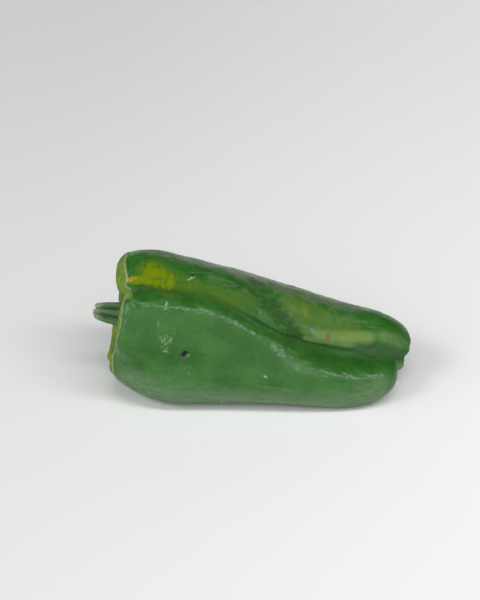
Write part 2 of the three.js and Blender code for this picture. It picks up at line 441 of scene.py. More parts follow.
class SkinGrid:
    """The fruit's skin on a grid of stations along the meridians and turns about the spine."""

    def __init__(self, form: PepperForm, turns: int, steps: tuple[int, ...]) -> None:
        """Works out the points.

        Args:
            form: The fruit's form.
            turns: How many meridians there are.
            steps: How many steps each zone has.
        """
        self.turn = even_turns(turns)
        places = [(zone, k / count) for zone, count in zip(Zone, steps) for k in range(count)]
        places.append((Zone.DIMPLE, 1.0))
        self.zone = np.array([zone.value for zone, _ in places])
        spots = [form.meridian_place(zone, step, self.turn) for zone, step in places]
        along, self.width = (np.array(part) for part in zip(*spots))
        every_turn = np.broadcast_to(self.turn, along.shape)
        self.points = form.skin_point(every_turn, along, self.width)
        self.share = along / form.length
        self.crease = form.crease(every_turn, np.clip(self.share, 0, 1))

    def normals(self) -> Array:
        """The way the skin faces.

        Returns:
            An outward direction of length 1 for each grid point.
        """
        lengthways = np.gradient(self.points, axis=0)
        around = np.roll(self.points, -1, axis=1) - np.roll(self.points, 1, axis=1)
        return unit(np.cross(around, lengthways))

    def place(self, share: float, turn: float) -> Array:
        """A point of the outer skin.

        Args:
            share: The share of the length.
            turn: The turn in degrees.

        Returns:
            The point in millimetres.
        """
        column = round(math.radians(turn) / FULL_TURN * len(self.turn)) % len(self.turn)
        outer = (self.zone >= Zone.SHOULDER.value) & (self.zone <= Zone.NOSE.value)
        shares = self.share[outer, column]
        points = self.points[outer, column]
        return np.array([np.interp(share, shares, points[:, k]) for k in range(3)])

    def path(self, places: Path, step: float = 0.5) -> Array:
        """Points close together on the skin along a path.

        Args:
            places: The path's places, each a share of the length and a turn in degrees.
            step: About how far apart the points are, in millimetres.

        Returns:
            The points, one row each.
        """
        points = [self.place(*places[0])]
        for start, end in zip(places, places[1:]):
            gap = np.linalg.norm(self.place(*end) - self.place(*start))
            count = max(1, math.ceil(gap / step))
            for k in range(1, count + 1):
                points.append(self.place(*(lerp(a, b, k / count) for a, b in zip(start, end))))
        return np.array(points)

    def distance(self, places: Path) -> Array:
        """How far the skin is from a path on it.

        Args:
            places: The path's places, each a share of the length and a turn in degrees.

        Returns:
            Every grid point's distance in millimetres.
        """
        nearest = np.full(self.share.shape, np.inf)
        for point in self.path(places):
            nearest = np.minimum(nearest, ((self.points - point) ** 2).sum(axis=-1))
        return np.sqrt(nearest)


@dataclass(frozen=True)
class Mark:
    """A soft-edged mark along a path on the skin.

    places are shares of the length with turns in degrees. The mark is whole out to core from
    the path and gone at reach, and strength is how strong it is.
    """

    places: Path
    core: float
    reach: float
    strength: float = 1.0

    def on(self, grid: SkinGrid) -> Array:
        """The mark's strength over the skin."""
        return self.strength * smoothstep(grid.distance(self.places), self.reach, self.core)


YELLOW_MARKS = (
    Mark(((0.105, -1), (0.126, 3), (0.15, 6)), 3.0, 11.5, 1.1),
    Mark(((0.056, 8), (0.092, 9)), 1.4, 4.8, 1.2),
    Mark(((0.16, 4), (0.23, 8)), 2.0, 10.5, 0.68),
    Mark(((0.23, 10), (0.3, 14), (0.38, 16), (0.45, 12)), 1.5, 10.0, 0.46),
    Mark(((0.11, 18), (0.2, 24)), 1.0, 7.0, 0.4),
    Mark(((0.59, -17), (0.62, -15), (0.66, -15)), 1.5, 9.5, 0.66),
    Mark(((0.66, -14), (0.7, -12), (0.76, -11), (0.81, -11)), 2.0, 10.0, 0.5),
    Mark(((0.62, 10), (0.65, 14)), 0.5, 4.0, 0.4),
    Mark(((0.0, 58), (0.0, 78), (0.0, 96)), 0.5, 4.0, 0.75),
)
ORANGE_MARKS = (
    Mark(((0.034, 7), (0.05, 7)), 0.5, 3.4, 0.9),
)
OLIVE_AND_PAINTED_HIGHLIGHT_MARKS = (
    Mark(((0.94, -3), (0.965, 2), (0.985, 10), (0.997, 20)), 0.2, 6.5, 0.36),
    Mark(((1.0, 170), (1.008, 188)), 1.5, 7.0, 0.9),
    # Painted highlight: a pale band along the top lobe's lower flank near the tip, where a highlight
    # falls.
    Mark(((0.7, 10), (0.73, 9), (0.79, 7), (0.84, 6), (0.88, 5)), 0.5, 6.5, 0.82),
    Mark(((0.65, 24), (0.69, 30), (0.76, 30), (0.83, 24)), 0.5, 2.6, 0.5),
    Mark(((0.04, 26), (0.052, 34)), 0.6, 3.2, 0.8),
)
GREY_MARKS = (
    Mark(((0.09, -26), (0.19, -26), (0.28, -22), (0.39, -18), (0.48, -22)), 1.5, 8.5, 0.9),
    Mark(((0.25, -12), (0.32, -4), (0.38, 0), (0.45, 0)), 0.6, 4.0, 0.55),
    Mark(((0.48, -24), (0.59, -29), (0.69, -32), (0.81, -34)), 1.2, 6.0, 0.85),
    Mark(((1.01, -14), (1.021, -3), (1.02, 12)), 0.5, 5.0, 0.4),
    Mark(((0.51, 100), (0.56, 101), (0.62, 102)), 0.2, 1.6, 0.5),
)
# Painted sheen: pale grey-green streaks along the lower front and the upper back of the fruit, standing
# in for a grazing reflection of the bright floor and backdrop.
PAINTED_SHEEN_MARKS = (
    Mark(((0.08, 114), (0.3, 118), (0.5, 118), (0.7, 114), (0.92, 106)), 0.5, 12.0, 0.78),
    Mark(((0.08, -38), (0.2, -38), (0.35, -34), (0.5, -38), (0.65, -42), (0.85, -46)), 1.0, 10.0, 0.9),
)
SMUDGE_MARKS = (
    Mark(((0.45, -18), (0.481, -16), (0.51, -9), (0.535, -4), (0.56, 0)), 1.0, 6.0, 0.6),
    Mark(((0.56, 0), (0.58, 5), (0.6, 13), (0.62, 21)), 1.0, 6.0, 0.8),
    Mark(((0.45, -4), (0.49, 0), (0.54, 8), (0.575, 17)), 0.5, 5.0, 0.6),
)
CHIP_MARKS = (
    Mark(((0.176, 35), (0.175, 38), (0.171, 41.5)), 0.15, 0.75, 0.8),
    Mark(((0.229, 1), (0.239, 1), (0.246, -1)), 0.3, 1.1, 0.8),
    Mark(((0.19, 79), (0.198, 78.5)), 0.2, 0.7, 0.6),
    Mark(((0.26, 80.5), (0.268, 80)), 0.2, 0.8, 0.6),
    Mark(((0.278, 98), (0.281, 98)), 0.1, 0.5, 0.7),
    Mark(((0.534, 91), (0.536, 91)), 0.2, 0.6, 1.0),
)
SCRATCH_MARKS = (
    Mark(((0.169, 65), (0.181, 71.5), (0.188, 64), (0.203, 70), (0.207, 65)), 0.1, 0.55),
    Mark(((0.171, 76.5), (0.185, 73), (0.197, 69)), 0.1, 0.5),
    Mark(((0.182, 79), (0.19, 78), (0.198, 74)), 0.1, 0.5),
    Mark(((0.155, 52), (0.16, 57), (0.158, 62)), 0.1, 0.45, 0.6),
    Mark(((0.21, 56), (0.214, 61)), 0.1, 0.45, 0.5),
)
BROWN_MARKS = (
    Mark(((0.727, 6), (0.731, 15)), 0.5, 2.0, 1.0),
    Mark(((0.87, 90), (0.878, 91)), 0.3, 1.6, 0.4),
)
# Small holes: sunk into the relief, and painted near black inside as painted shade.
PIT_MARKS = (
    Mark(((0.252, 81), (0.258, 79)), 0.7, 1.4),
    Mark(((0.2428, -4.5), (0.2432, -5)), 0.5, 1.1),
)
RAISED_MARKS = (
    Mark(((0.7, 9), (0.75, 7), (0.8, 5), (0.86, 3)), 0.0, 8.5, 0.5),
    Mark(((0.1, 58),), 0.1, 1.4, 0.3),
    Mark(((0.117, 61),), 0.1, 1.82, 0.3),
    Mark(((0.128, 65),), 0.1, 1.4, 0.3),
    Mark(((0.341, 117),), 0.3, 1.3, 0.7),
)


@dataclass(frozen=True)
class RimLine:
    """The pale line where the outer skin turns over into the hollow.

    turns and widths say how far out it runs, as shares of the section's radius.
    """

    turns: tuple[float, ...] = (-60, -27, -13, -3, 6, 11, 20, 37, 60, 69, 83, 103, 120, 200)
    widths: tuple[float, ...] = (
        0.84, 0.87, 0.875, 0.903, 0.92, 0.86, 0.9, 0.937, 0.951, 0.93, 0.8, 0.69, 0.67, 0.78,
    )

    def signed_distance(self, grid: SkinGrid) -> Array:
        """How far the skin lies outside the line, along its meridians.

        Args:
            grid: The skin.

        Returns:
            Every grid point's distance in millimetres, below 0 inside the line.
        """
        steps = np.linalg.norm(np.diff(grid.points, axis=0), axis=-1)
        arc = np.concatenate([np.zeros((1, steps.shape[1])), np.cumsum(steps, axis=0)])
        degrees = np.degrees(grid.turn)
        width = np.interp(degrees, self.turns, self.widths, period=360)
        shoulder = grid.zone == Zone.SHOULDER.value
        columns = zip(width, grid.width[shoulder].T, arc[shoulder].T)
        return arc - np.array([np.interp(*column) for column in columns])


@dataclass(frozen=True)
class SkinRelief:
    """The skin's small unevenness, as heights in millimetres.

    wrinkles are how far outside the rim line each runs, how deep it is and how wide.
    """

    swell: Ripples = Ripples(24, 0.11, 3)
    dents: Ripples = Ripples(7.5, 0.045, 13)
    mottle: Ripples = Ripples(3.4, 0.03, 5)
    lengthways: Ripples = Ripples(2.6, 0.03, 7, 5.0)
    wander: Ripples = Ripples(5.0, 1.0, 11)
    open_widths: Pair = (0.15, 0.6)
    rim_reach: float = 9.0
    rim_mottle: float = 1.2
    rim_height: float = 0.16
    rim_spread: float = 0.8
    wrinkles: tuple[Triple, ...] = ((2.6, 0.13, 0.9), (6.0, 0.1, 1.2), (10.5, 0.07, 1.4))
    wrinkle_wander: float = 0.9
    pit_depth: float = 1.5
    scratch_height: float = 0.12

    def heights(self, grid: SkinGrid, rim: Array) -> Array:
        """The height at every grid point.

        Args:
            grid: The skin.
            rim: The distance outside the rim line.

        Returns:
            Heights in millimetres, positive outwards.
        """
        points = grid.points
        uneven = self.mottle.at(points) * (1 + self.rim_mottle * bell(rim, self.rim_reach))
        for ripples in (self.swell, self.dents, self.lengthways):
            uneven += ripples.at(points)
        height = uneven * smoothstep(grid.width, *self.open_widths)
        wander = self.wander.at(points)
        height += self.rim_height * bell(rim, self.rim_spread) * lerp(1, wander, 0.3)
        for place, depth, spread in self.wrinkles:
            height -= depth * bell(rim - place - self.wrinkle_wander * wander, spread)
        for marks, scale in (
            (RAISED_MARKS, 1), (SCRATCH_MARKS, self.scratch_height), (PIT_MARKS, -self.pit_depth),
        ):
            height += scale * sum(mark.on(grid) for mark in marks)
        return height


def add_object(name: str, data: bpy.types.ID) -> Piece:
    """Puts a new object in the scene.

    Args:
        name: Its name.
        data: Its mesh, light or camera.

    Returns:
        The object.
    """
    made = bpy.data.objects.new(name, data)
    bpy.context.scene.collection.objects.link(made)
    return made


def smooth_piece(name: str, body: bmesh.types.BMesh) -> Piece:
    """Turns a body's faces outwards and makes a smooth piece of it.

    Args:
        name: The piece's name.
        body: The body, which is freed.

    Returns:
        The piece, in the scene.
    """
    bmesh.ops.recalc_face_normals(body, faces=body.faces)
    for face in body.faces:
        face.smooth = True
    mesh = bpy.data.meshes.new(name)
    body.to_mesh(mesh)
    body.free()
    return add_object(name, mesh)


def lathe_body(name: str, grid: Array) -> Piece:
    """A closed body of a grid of points, with a pole at either end.

    A half circle of vertices is spun about X into a ball of the same stations and turns, and
    each vertex then moves to its point of the grid.

    Args:
        name: The piece's name.
        grid: Points by station and turn, in millimetres.

    Returns:
        The piece. Its grid_place attribute says which grid point each vertex is.
    """
    stations, turns = grid.shape[:2]
    body = bmesh.new()
    angles = [math.pi * k / (stations - 1) for k in range(stations)]
    profile = [body.verts.new((-math.cos(a), 0, math.sin(a))) for a in angles]
    edges = [body.edges.new(pair) for pair in zip(profile, profile[1:])]
    bmesh.ops.spin(
        body, geom=profile + edges, cent=(0, 0, 0), axis=(1, 0, 0), dvec=(0, 0, 0),
        angle=FULL_TURN, steps=turns, use_merge=True, use_duplicate=False,
    )
    bmesh.ops.remove_doubles(body, verts=body.verts, dist=WELD_DISTANCE)
    for vertex in body.verts:
        x, y, z = vertex.co
        station = round(math.acos(max(-1.0, min(1.0, -x))) / math.pi * (stations - 1))
        turn = round(math.atan2(-y, z) / FULL_TURN * turns) % turns
        vertex.co = grid[station, turn] * MM
        vertex.index = station * turns + turn
    order = np.array([vertex.index for vertex in body.verts])
    piece = smooth_piece(name, body)
    places = piece.data.attributes.new("grid_place", "INT", "POINT")
    places.data.foreach_set("value", order)
    return piece


def set_field(piece: Piece, name: str, values: Array) -> None:
    """Writes a grid of values onto a piece as an attribute.

    Args:
        piece: A piece made by lathe_body.
        name: The attribute's name.
        values: A value for each point of the piece's grid.
    """
    mesh = piece.data
    order = np.zeros(len(mesh.vertices), np.int32)
    mesh.attributes["grid_place"].data.foreach_get("value", order)
    chosen = values.astype(np.float32).reshape(-1)[order]
    mesh.attributes.new(name, "FLOAT", "POINT").data.foreach_set("value", chosen)


@dataclass(frozen=True)
class Wash:
    """A colour that is laid on where a value steps softly from low to high, as strong as top."""

    colour: Colour
    low: float
    high: float
    top: float = 1.0


@dataclass
class Bench:
    """Adds nodes to a material or a world and links them."""

    tree: bpy.types.NodeTree

    def node(self, kind: str, fed: dict[int | str, object], **settings: object) -> bpy.types.Node:
        """Adds a node.

        Args:
            kind: Its type.
            fed: What its inputs are fed, by name or number.
            **settings: Its settings by name.

        Returns:
            The node.
        """
        made = self.tree.nodes.new(kind)
        for name, value in settings.items():
            setattr(made, name, value)
        for name, value in fed.items():
            self.feed(made.inputs[name], value)
        return made

    def feed(self, socket: Socket, value: object) -> None:
        """Links a socket to another, or sets its value.

        Args:
            socket: The socket of an input.
            value: The socket of an output, a number, a vector or a colour.
        """
        if isinstance(value, bpy.types.NodeSocket):
            self.tree.links.new(value, socket)
        elif socket.type == "RGBA" and len(value) == 3:
            socket.default_value = (*value, 1.0)
        else:
            socket.default_value = value

    def shade(self, **values: object) -> None:
        """Feeds the principled shader's inputs, whose names are written with underscores."""
        for name, value in values.items():
            self.feed(self.tree.nodes["Principled BSDF"].inputs[name.replace("_", " ")], value)

    def math(self, operation: str, *values: object) -> Socket:
        """One step of arithmetic."""
        return self.node("ShaderNodeMath", dict(enumerate(values)), operation=operation).outputs[0]

    def add(self, total: object, *others: object) -> Socket:
        """Adds values up.

        Args:
            total: The first value.
            *others: The values that are added to it in turn.

        Returns:
            The sum.
        """
        for other in others:
            total = self.math("ADD", total, other)
        return total

    def times(self, first: object, second: object) -> Socket:
        """The product of two values."""
        return self.math("MULTIPLY", first, second)

    def centred(self, value: Socket, gain: float) -> Socket:
        """A noise's swing about one half, drawn out by a gain."""
        return self.math("MULTIPLY_ADD", value, gain, -gain / 2)

    def step(self, value: Socket, low: float, high: float, top: float = 1.0) -> Socket:
        """A soft step of a value, from 0 at low to top at high."""
        fed = {"Value": value, "From Min": low, "From Max": high, "To Max": top}
        return self.node("ShaderNodeMapRange", fed, interpolation_type="SMOOTHSTEP").outputs[0]

    def blend(self, share: object, under: object, over: object) -> Socket:
        """A mix of two colours, with the second over the first."""
        fed = {"Factor": share, 6: under, 7: over}
        return self.node("ShaderNodeMix", fed, data_type="RGBA").outputs[2]

    def washed(self, colour: object, *layers: tuple[Socket, Wash]) -> Socket:
        """Lays washes over a colour, one after another.

        Args:
            colour: The colour under them.
            *layers: Each wash, after the value that says where it lies.

        Returns:
            The colour with the washes over it.
        """
        for value, wash in layers:
            share = self.step(value, wash.low, wash.high, wash.top)
            colour = self.blend(share, colour, wash.colour)
        return colour

    def field(self, name: str) -> Socket:
        """A value that set_field wrote onto the mesh."""
        return self.node("ShaderNodeAttribute", {}, attribute_name=name).outputs["Fac"]

    def object_place(self, stretch: Triple = (1, 1, 1)) -> Socket:
        """The place on the piece, scaled along each axis."""
        place = self.node("ShaderNodeTexCoord", {}).outputs["Object"]
        return self.node("ShaderNodeMapping", {"Vector": place, "Scale": stretch}).outputs[0]

    def noise(self, place: Socket, millimetres: float, detail: float) -> Socket:
        """Noise around one half, with clouds of about a size and some finer layers."""
        fed = {"Vector": place, "Scale": 1 / (millimetres * MM), "Detail": detail}
        return self.node("ShaderNodeTexNoise", fed).outputs["Fac"]

    def bump(self, height: Socket, strength: object, depth: float, *onto: Socket) -> Socket:
        """A bump of a height, whose full range is depth millimetres, onto another if it is given."""
        fed = {"Height": height, "Strength": strength, "Distance": depth * MM}
        return self.node("ShaderNodeBump", fed | {"Normal": bump for bump in onto}).outputs[0]


def new_material(name: str) -> tuple[bpy.types.Material, Bench]:
    """Adds a material.

    Args:
        name: Its name.

    Returns:
        The material, and a bench for its nodes.
    """
    material = bpy.data.materials.new(name)
    material.use_nodes = True
    return material, Bench(material.node_tree)


LEAF: Colour = (0.026, 0.112, 0.014)
SHADE: Colour = (0.008, 0.044, 0.005)
GROOVE: Colour = (0.006, 0.028, 0.004)


@dataclass(frozen=True)
class SkinFinish:
    """The fruit's waxy skin: deep green with yellow patches, worn grey streaks and pale marks.

    Its colour also holds painted light: painted shade in the creases between the lobes and inside the
    small holes, a painted sheen along the lower front and upper back, and a painted highlight in the pale
    band on the top lobe's flank near the tip. A name that begins with matt is how much rougher the skin
    is there, and inside_from and rim_line are a soft step's low, high and top.
    """

    deep: Colour = (0.015, 0.084, 0.007)
    leaf_clouds: Wash = Wash(LEAF, 0.35, 0.68)
    leaf_streaks: Wash = Wash(LEAF, 0.5, 0.85, 0.5)
    shade_grain: Wash = Wash(SHADE, 0.54, 0.75, 0.25)
    shade_mottles: Wash = Wash(SHADE, 0.46, 0.3, 0.25)
    # Painted shade: the creases between the lobes darkened towards the shade colour.
    painted_crease_shade: Wash = Wash(SHADE, 0.82, 1.0, 0.75)
    # The colour of the painted sheen along the lower front and upper back edges.
    painted_sheen: Colour = (0.100, 0.175, 0.085)
    inside: Colour = (0.150, 0.210, 0.020)
    inside_leaf: Wash = Wash(LEAF, 0.35, 0.72, 0.6)
    inside_from: Triple = (1.2, -1.5, 0.85)
    lime: Wash = Wash((0.042, 0.108, 0.001), 0.1, 0.55, 0.92)
    yellow: Wash = Wash((0.132, 0.188, 0.0015), 0.65, 1.2, 0.92)
    orange: Wash = Wash((0.340, 0.240, 0.012), 0.4, 1.1, 0.8)
    # A pale yellow-green, lightened so that its band near the tip also stands in for a highlight: partly
    # painted highlight.
    olive_and_painted_highlight: Wash = Wash((0.128, 0.205, 0.042), 0.1, 0.95, 0.8)
    grey: Wash = Wash((0.085, 0.120, 0.070), 0.35, 1.0, 0.75)
    smudge: Wash = Wash((0.012, 0.050, 0.003), 0.2, 0.8, 0.8)
    cream: Colour = (0.230, 0.270, 0.110)
    rim_line: Triple = (0.95, 0.15, 0.8)
    pale: Colour = (0.280, 0.400, 0.230)
    scratch: float = 0.45
    brown: Wash = Wash((0.110, 0.060, 0.022), 0.1, 1.0, 0.7)
    # Near black painted shade inside the small holes.
    pit: Wash = Wash((0.006, 0.009, 0.004), 0.25, 0.7, 0.97)
    roughness: float = 0.22
    matt_grain: float = 0.12
    matt_worn: float = 0.12
    matt_faded: float = 0.28
    matt_clouds: float = 0.14
    matt_inside: float = 0.4
    matt_creases: float = 0.3
    index: float = 1.38

    def colour(self, bench: Bench, grain: Socket, streaks: Socket) -> Socket:
        """The skin's colour: green under yellow, grey and dark patches and small marks.

        Args:
            bench: The bench of the skin's material.
            grain: Fine cloudy noise.
            streaks: Noise drawn out along the fruit.

        Returns:
            The colour.
        """
        place = bench.object_place()
        clouds = bench.noise(place, 14, 4)
        mottles = bench.noise(place, 4, 3)
        strokes = bench.noise(bench.object_place((1, 0.3, 0.3)), 1.7, 4)
        ragged = bench.add(bench.centred(strokes, 1.0), bench.centred(mottles, 0.8))
        lines = bench.centred(streaks, 3.0)

        def ragged_mark(name: str, unevenness: Socket) -> Socket:
            """A mark's strength, made uneven where the mark lies."""
            mark = bench.field(name)
            return bench.add(mark, bench.times(bench.step(mark, 0.0, 0.3), unevenness))

        colour = bench.washed(
            self.deep, (clouds, self.leaf_clouds), (streaks, self.leaf_streaks),
            (grain, self.shade_grain), (mottles, self.shade_mottles),
        )
        # Painted sheen: a pale grey-green laid lengthways along the lower front and upper back edges.
        painted_sheen = bench.times(bench.field("painted_sheen"), bench.step(streaks, 0.1, 0.6))
        colour = bench.blend(painted_sheen, colour, self.painted_sheen)
        # Painted shade in the creases between the lobes.
        colour = bench.washed(colour, (bench.field("crease"), self.painted_crease_shade))
        rim = bench.add(bench.field("rim"), bench.centred(grain, 1.6))
        inside = bench.washed(self.inside, (mottles, self.inside_leaf))
        colour = bench.blend(bench.step(rim, *self.inside_from), colour, inside)
        yellow, orange = ragged_mark("yellow", ragged), ragged_mark("orange", ragged)
        # Pale yellow-green patches; their band on the top lobe's flank near the tip is a painted
        # highlight.
        olive_and_painted_highlight = ragged_mark("olive_and_painted_highlight", bench.centred(clouds, 0.9))
        grey, smudge = ragged_mark("grey", lines), ragged_mark("smudge", lines)
        colour = bench.washed(
            colour, (yellow, self.lime), (yellow, self.yellow), (orange, self.orange),
            (olive_and_painted_highlight, self.olive_and_painted_highlight), (grey, self.grey), (smudge, self.smudge),
        )

        line = bench.step(bench.math("ABSOLUTE", rim), *self.rim_line)
        colour = bench.blend(bench.times(line, bench.step(mottles, 0.3, 0.5)), colour, self.cream)
        worn = bench.step(grain, 0.38, 0.55)
        scratch = bench.times(bench.field("scratch"), self.scratch)
        for mark in (bench.field("chip"), scratch):
            colour = bench.blend(bench.times(mark, worn), colour, self.pale)
        # Brown spots, then painted shade, near black, inside the small holes.
        spots = (bench.field("brown"), self.brown), (bench.field("pit"), self.pit)
        return bench.washed(colour, *spots)

    def material(self) -> bpy.types.Material:
        """Makes the finish.

        Returns:
            A material that reads the skin's attributes.
        """
        material, bench = new_material("pepper_skin")
        place = bench.object_place()
        lengthways = bench.object_place((0.16, 1, 1))
        grain = bench.noise(place, 1.6, 4)
        streaks = bench.noise(lengthways, 1.8, 3)

        yellow, smudge = bench.field("yellow"), bench.field("smudge")
        rim = bench.field("rim")
        worn = bench.math("MAXIMUM", bench.field("grey"), smudge)
        faded = bench.times(bench.step(yellow, 0.1, 0.45), bench.step(yellow, 1.0, 0.75))
        matt = bench.math("MAXIMUM", faded, bench.step(smudge, 0.1, 0.45))
        rough = bench.add(
            bench.step(grain, 0.3, 0.75, self.matt_grain),
            self.roughness,
            bench.times(worn, self.matt_worn),
            bench.times(matt, self.matt_faded),
            bench.step(bench.noise(place, 9, 2), 0.48, 0.6, self.matt_clouds),
            bench.step(rim, 2.0, -2.0, self.matt_inside),
            bench.step(bench.field("crease"), 0.3, 0.9, self.matt_creases),
        )

        fine = bench.bump(bench.noise(place, 0.9, 2), 0.5, 0.05)
        less_where_matt = bench.step(matt, 1.6, 0.0)
        mottled = bench.bump(bench.noise(place, 2.6, 2), less_where_matt, 0.24, fine)
        scored = bench.bump(bench.noise(lengthways, 1.1, 2), 0.4, 0.08, mottled)
        wrinkles = bench.noise(bench.object_place((1, 0.2, 0.2)), 1.5, 2)
        near_rim = bench.times(wrinkles, bench.step(rim, 13.0, 2.0))
        normal = bench.bump(near_rim, 0.8, 0.5, scored)
        colour = self.colour(bench, grain, streaks)
        bench.shade(Base_Color=colour, Roughness=rough, Normal=normal, IOR=self.index)
        return material


@dataclass
class Fruit:
    """The fruit: one fine skin that stands for the solid of the same name."""

    form: PepperForm
    finish: SkinFinish = SkinFinish()
    relief: SkinRelief = SkinRelief()
    rim_line: RimLine = RimLine()
    dark_creases: Pair = (0.45, 0.6)
    turns: int = 280
    steps: tuple[int, ...] = (40, 60, 150, 44, 22)

    def build(self) -> Piece:
        """Makes the skin, with its relief and the fields that its finish reads.

        Returns:
            The skin, not yet dressed.
        """
        grid = SkinGrid(self.form, self.turns, self.steps)
        rim = self.rim_line.signed_distance(grid)
        heights = self.relief.heights(grid, rim)
        shaped = grid.points + grid.normals() * heights[..., None]
        shaped[..., 2] = np.maximum(shaped[..., 2], 0)
        shaped[0], shaped[-1] = grid.points[0], grid.points[-1]
        piece = lathe_body("fruit_skin", shaped)
        for name, marks in {
            "yellow": YELLOW_MARKS, "orange": ORANGE_MARKS, "olive_and_painted_highlight": OLIVE_AND_PAINTED_HIGHLIGHT_MARKS,
            "grey": GREY_MARKS, "painted_sheen": PAINTED_SHEEN_MARKS, "smudge": SMUDGE_MARKS,
            "chip": CHIP_MARKS, "scratch": SCRATCH_MARKS, "brown": BROWN_MARKS, "pit": PIT_MARKS,
        }.items():
            set_field(piece, name, np.max([mark.on(grid) for mark in marks], axis=0))
        # Crease depth from the middle of the fruit on, which darkens the creases as painted shade and
        # makes them rougher.
        set_field(piece, "crease", grid.crease * smoothstep(grid.share, *self.dark_creases))
        set_field(piece, "rim", rim)
        return piece

    def dress(self, piece: Piece) -> None:
        """Gives the skin its finish and its place in the frame.

        Args:
            piece: The skin that build made.
        """
        piece.data.materials.append(self.finish.material())
        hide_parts("fruit")
        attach(piece, "root")


@dataclass(frozen=True)
class StemFinish:
    """The stem's fibrous green rind, with painted shade down the hollows between its ribs, painted
    highlights along the rib crests, and paler at its torn end.
    """

    rind: Colour = (0.028, 0.095, 0.018)
    blotches: Wash = Wash((0.040, 0.115, 0.020), 0.3, 0.7)
    # Painted shade down the hollows between the ribs.
    painted_groove_shade: Wash = Wash(GROOVE, 0.2, -0.7, 0.85)
    # Painted highlight on the rib crests.
    ridge: Colour = (0.070, 0.145, 0.045)
    gaps: Wash = Wash(GROOVE, 0.5, 0.68, 0.65)
    torn: Colour = (0.200, 0.230, 0.140)
    roughness: float = 0.55
    rough_fibres: float = 0.2

    def material(self) -> bpy.types.Material:
        """Makes the finish.

        Returns:
            A material that reads the stem's attributes.
        """
        material, bench = new_material("pepper_stem")
        place = bench.object_place()
        fibres = bench.noise(bench.object_place((0.12, 1, 1)), 0.7, 4)
        ribs = bench.field("rib")
        blotches = bench.noise(place, 3.0, 3)
        # Painted shade: the rind is darkened down the hollows between the ribs.
        colour = bench.washed(self.rind, (blotches, self.blotches), (ribs, self.painted_groove_shade))
        # Painted highlight: the rib crests are lightened in streaks where the fibres show.
        ridge = bench.times(bench.step(ribs, 0.2, 0.9), bench.step(fibres, 0.4, 0.7))
        colour = bench.washed(bench.blend(ridge, colour, self.ridge), (fibres, self.gaps))
        torn = bench.times(bench.field("torn"), bench.step(fibres, 0.25, 0.6))
        colour = bench.blend(torn, colour, self.torn)
        rough = bench.add(bench.step(fibres, 0.3, 0.8, self.rough_fibres), self.roughness)
        coarse = bench.bump(bench.noise(place, 1.4, 3), 0.5, 0.15)
        normal = bench.bump(fibres, 0.7, 0.25, coarse)
        bench.shade(Base_Color=colour, Roughness=rough, Normal=normal)
        return material


